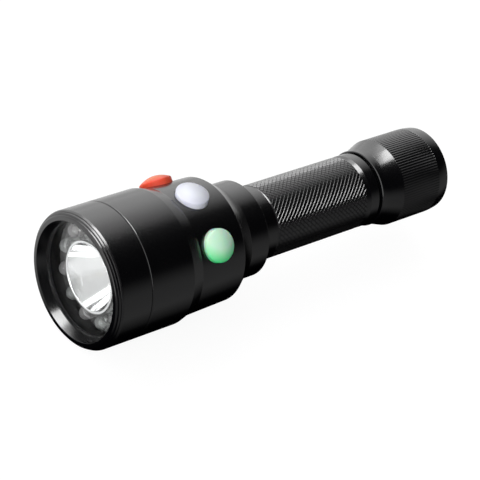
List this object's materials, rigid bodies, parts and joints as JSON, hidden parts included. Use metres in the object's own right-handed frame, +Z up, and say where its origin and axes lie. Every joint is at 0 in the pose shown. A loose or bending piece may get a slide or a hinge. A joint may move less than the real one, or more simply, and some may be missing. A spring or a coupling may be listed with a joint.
{
  "type": "railway signal flashlight",
  "caption": "Black turned hand lamp with a main beam, a ring of signal lamps behind its lens, coloured push buttons on the head, a knurled grip and a ribbed screw-on tail cap.",
  "frame": {"origin": "on the surface the lamp lies on, under the middle of its length, with the lamp's axis 24 mm above", "axes": "+Y from the lens to the tail, along the lamp's axis; +Z up, through the white middle button; +X towards the green button"},
  "size_m": [0.048, 0.161, 0.0498],
  "materials": {
    "black_anodised": "glossy black anodised",
    "black_rubber": "matt rubber",
    "clear_glass": "polished flat glass",
    "bright_reflector": "smooth bright metallised",
    "white_plastic": "moulded white plastic",
    "emitter": "phosphor under a clear dome",
    "bare_aluminium": "machined",
    "zinc_steel": "bright zinc",
    "white_board": "white solder mask",
    "clear_red_led": "water-clear resin",
    "clear_green_led": "water-clear resin",
    "brass": "turned",
    "red_wire": "insulated wire",
    "black_wire": "insulated wire",
    "blue_wire": "insulated wire",
    "black_plastic": "moulded black plastic",
    "green_board": "green solder mask",
    "coil_brown": "varnished winding",
    "red_button": "glossy orange-red plastic",
    "white_button": "glossy bluish white plastic",
    "green_button": "glossy mint green plastic",
    "cell_wrap": "plastic wrap on a metal can"
  },
  "bodies": {
    "torch": {"bezel_ring": "black_anodised", "lens_gasket": "black_rubber", "lens": "clear_glass", "bezel_o_ring": "black_rubber", "head_body": "black_anodised", "reflector": "bright_reflector", "led_centering_ring": "white_plastic", "main_led": "emitter", "main_led_board": "bare_aluminium", "main_board_screws": "zinc_steel", "signal_board": "white_board", "red_signal_leds": "clear_red_led", "green_signal_leds": "clear_green_led", "board_standoffs": "brass", "board_screws": "zinc_steel", "heat_sink": "bare_aluminium", "main_led_wires": "red_wire", "signal_wires": "black_wire", "switch_carrier": "black_plastic", "switch_boards": "green_board", "switch_board_screws": "zinc_steel", "switch_bodies": "black_plastic", "switch_wires": "blue_wire", "driver_board": "green_board", "driver_chip": "black_plastic", "driver_coil": "coil_brown", "positive_contact": "brass", "contact_insulator": "white_plastic", "barrel_tube": "black_anodised", "barrel_front_o_ring": "black_rubber", "barrel_rear_o_ring": "black_rubber", "battery_sleeve": "white_plastic", "battery_cell": "cell_wrap", "battery_cap": "zinc_steel"},
    "red_push": {"red_button": "red_button", "red_plunger": "white_plastic"},
    "white_push": {"white_button": "white_button", "white_plunger": "white_plastic"},
    "green_push": {"green_button": "green_button", "green_plunger": "white_plastic"},
    "spring_carriage": {"tail_spring": "zinc_steel"},
    "screw_cap": {"tail_cap": "black_anodised", "tail_contact_board": "green_board", "tail_retaining_ring": "brass"}
  },
  "joints": [
    {"name": "red_button_press", "type": "slide", "parent": "torch", "child": "red_push", "axis": [0.766, 0, -0.6428], "range_m": [0, 0.0008], "stiffness_N_per_m": 1500, "springref_m": -0.0004},
    {"name": "white_button_press", "type": "slide", "parent": "torch", "child": "white_push", "axis": [0, 0, -1], "range_m": [0, 0.0008], "stiffness_N_per_m": 1500, "springref_m": -0.0004},
    {"name": "green_button_press", "type": "slide", "parent": "torch", "child": "green_push", "axis": [-0.766, 0, -0.6428], "range_m": [0, 0.0008], "stiffness_N_per_m": 1500, "springref_m": -0.0004},
    {"name": "tail_cap_travel", "type": "slide", "parent": "torch", "child": "spring_carriage", "axis": [0, 1, 0], "range_m": [0, 0.006]},
    {"name": "tail_cap_turn", "type": "hinge", "parent": "spring_carriage", "child": "screw_cap", "pos_m": [0, 0.0645, 0.024], "axis": [0, 1, 0], "range_deg": [0, 1440]}
  ],
  "couplings": [
    {"joint": "tail_cap_travel", "follows": "tail_cap_turn", "m_per_rad": 0.00023873}
  ]
}
